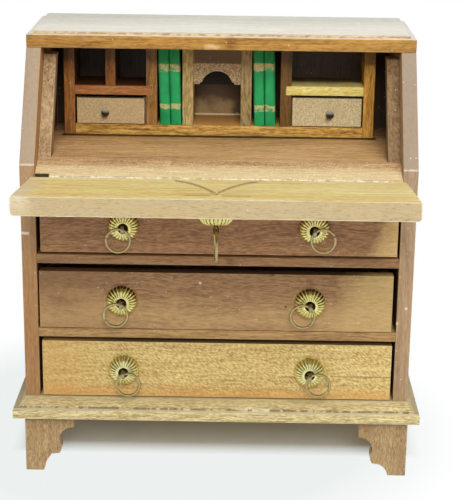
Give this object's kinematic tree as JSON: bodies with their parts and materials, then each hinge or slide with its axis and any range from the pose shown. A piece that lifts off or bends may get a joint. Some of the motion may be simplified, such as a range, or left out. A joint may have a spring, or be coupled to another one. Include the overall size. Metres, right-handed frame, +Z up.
{
  "type": "slant-front secretary desk miniature",
  "caption": "Doll's-house slant-front secretary desk: open hinged fall with pigeonholes and books behind it, drawers with ring pulls below, stepped plinth and sawn bracket feet.",
  "frame": {"origin": "on the floor, midway across the width and midway between the front edge of the open fall and the back of the case", "axes": "+Z up, +Y to the back, +X to the right of someone facing the front"},
  "size_m": [0.0808, 0.0664, 0.0869],
  "materials": {
    "case_wood": "stained satin",
    "strip_wood": "stained satin",
    "top_wood": "worn satin",
    "back_wood": "stained matt",
    "writing_wood": "stained satin",
    "plinth_wood": "worn satin",
    "foot_wood": "stained satin",
    "fall_wood": "worn satin",
    "drawer_wood": "stained satin",
    "honey_wood": "stained satin",
    "lining_wood": "bare",
    "red_wood": "stained satin",
    "grey_wood": "stained matt",
    "base_wood": "stained satin",
    "yellow_wood": "stained satin",
    "small_front_wood": "bare",
    "cap_brass": "polished",
    "ring_brass": "dull",
    "pin_steel": "plain",
    "knob_steel": "plain",
    "book_cloth": "matt",
    "linen_tape": "matt"
  },
  "bodies": {
    "case": {"left_gable": "case_wood", "right_gable": "case_wood", "top_board": "top_wood", "back_panel": "back_wood", "writing_board": "writing_wood", "upper_drawer_divider": "case_wood", "lower_drawer_divider": "case_wood", "plinth_board": "plinth_wood", "foot_front_left": "foot_wood", "foot_front_right": "foot_wood", "foot_rear_left": "foot_wood", "foot_rear_right": "foot_wood", "left_slope_strip": "strip_wood", "right_slope_strip": "strip_wood", "hinge_tape_on_board": "linen_tape", "left_end_upright": "red_wood", "left_inner_upright": "red_wood", "left_centre_upright": "grey_wood", "right_centre_upright": "grey_wood", "right_inner_upright": "grey_wood", "right_end_upright": "yellow_wood", "pigeonhole_base": "base_wood", "left_shelf": "red_wood", "right_shelf": "yellow_wood", "letter_divider": "red_wood", "arch_valance": "grey_wood", "left_books": "book_cloth", "right_books": "book_cloth"},
    "fall": {"fall_board": "fall_wood", "fall_rosette": "cap_brass", "fall_split_pin": "pin_steel", "hinge_tape_on_fall": "linen_tape"},
    "fall_ring": {"fall_ring": "ring_brass"},
    "upper_drawer": {"upper_drawer_front": "drawer_wood", "upper_drawer_box": "lining_wood", "upper_drawer_bottom": "lining_wood", "upper_drawer_rosettes": "cap_brass", "upper_drawer_split_pins": "pin_steel"},
    "middle_drawer": {"middle_drawer_front": "drawer_wood", "middle_drawer_box": "lining_wood", "middle_drawer_bottom": "lining_wood", "middle_drawer_rosettes": "cap_brass", "middle_drawer_split_pins": "pin_steel"},
    "lower_drawer": {"lower_drawer_front": "honey_wood", "lower_drawer_box": "lining_wood", "lower_drawer_bottom": "lining_wood", "lower_drawer_rosettes": "cap_brass", "lower_drawer_split_pins": "pin_steel"},
    "upper_left_ring": {"upper_left_ring": "ring_brass"},
    "upper_right_ring": {"upper_right_ring": "ring_brass"},
    "middle_left_ring": {"middle_left_ring": "ring_brass"},
    "middle_right_ring": {"middle_right_ring": "ring_brass"},
    "lower_left_ring": {"lower_left_ring": "ring_brass"},
    "lower_right_ring": {"lower_right_ring": "ring_brass"},
    "left_small_drawer": {"left_small_drawer_front": "small_front_wood", "left_small_drawer_tray": "lining_wood", "left_small_drawer_knob": "knob_steel"},
    "right_small_drawer": {"right_small_drawer_front": "small_front_wood", "right_small_drawer_tray": "lining_wood", "right_small_drawer_knob": "knob_steel"}
  },
  "joints": [
    {"name": "fall_hinge", "type": "hinge", "parent": "case", "child": "fall", "pos_m": [0, -0.00705, 0.06173], "axis": [1, 0, 0], "range_deg": [-116.99, 0]},
    {"name": "fall_ring_swing", "type": "hinge", "parent": "fall", "child": "fall_ring", "pos_m": [0, -0.02797, 0.05786], "axis": [0, 1, 0], "range_deg": [-75, 75]},
    {"name": "upper_drawer_slide", "type": "slide", "parent": "case", "child": "upper_drawer", "axis": [0, -1, 0], "range_m": [0, 0.016]},
    {"name": "upper_left_ring_swing", "type": "hinge", "parent": "upper_drawer", "child": "upper_left_ring", "pos_m": [-0.01825, -0.00838, 0.05181], "axis": [-0.9272, 0, 0.3746], "range_deg": [0, 95]},
    {"name": "upper_right_ring_swing", "type": "hinge", "parent": "upper_drawer", "child": "upper_right_ring", "pos_m": [0.01855, -0.00838, 0.05181], "axis": [-0.6947, 0, -0.7193], "range_deg": [0, 95]},
    {"name": "middle_drawer_slide", "type": "slide", "parent": "case", "child": "middle_drawer", "axis": [0, -1, 0], "range_m": [0, 0.016]},
    {"name": "middle_left_ring_swing", "type": "hinge", "parent": "middle_drawer", "child": "middle_left_ring", "pos_m": [-0.0187, -0.00838, 0.03662], "axis": [-0.8988, 0, 0.4384], "range_deg": [0, 95]},
    {"name": "middle_right_ring_swing", "type": "hinge", "parent": "middle_drawer", "child": "middle_right_ring", "pos_m": [0.0181, -0.00838, 0.03662], "axis": [-0.766, 0, 0.6428], "range_deg": [0, 95]},
    {"name": "lower_drawer_slide", "type": "slide", "parent": "case", "child": "lower_drawer", "axis": [0, -1, 0], "range_m": [0, 0.016]},
    {"name": "lower_left_ring_swing", "type": "hinge", "parent": "lower_drawer", "child": "lower_left_ring", "pos_m": [-0.0184, -0.00838, 0.02215], "axis": [-0.9063, 0, -0.4226], "range_deg": [0, 95]},
    {"name": "lower_right_ring_swing", "type": "hinge", "parent": "lower_drawer", "child": "lower_right_ring", "pos_m": [0.0184, -0.00838, 0.02215], "axis": [-0.6947, 0, -0.7193], "range_deg": [0, 95]},
    {"name": "left_small_drawer_slide", "type": "slide", "parent": "case", "child": "left_small_drawer", "axis": [0, -1, 0], "range_m": [0, 0.008]},
    {"name": "right_small_drawer_slide", "type": "slide", "parent": "case", "child": "right_small_drawer", "axis": [0, -1, 0], "range_m": [0, 0.008]}
  ]
}
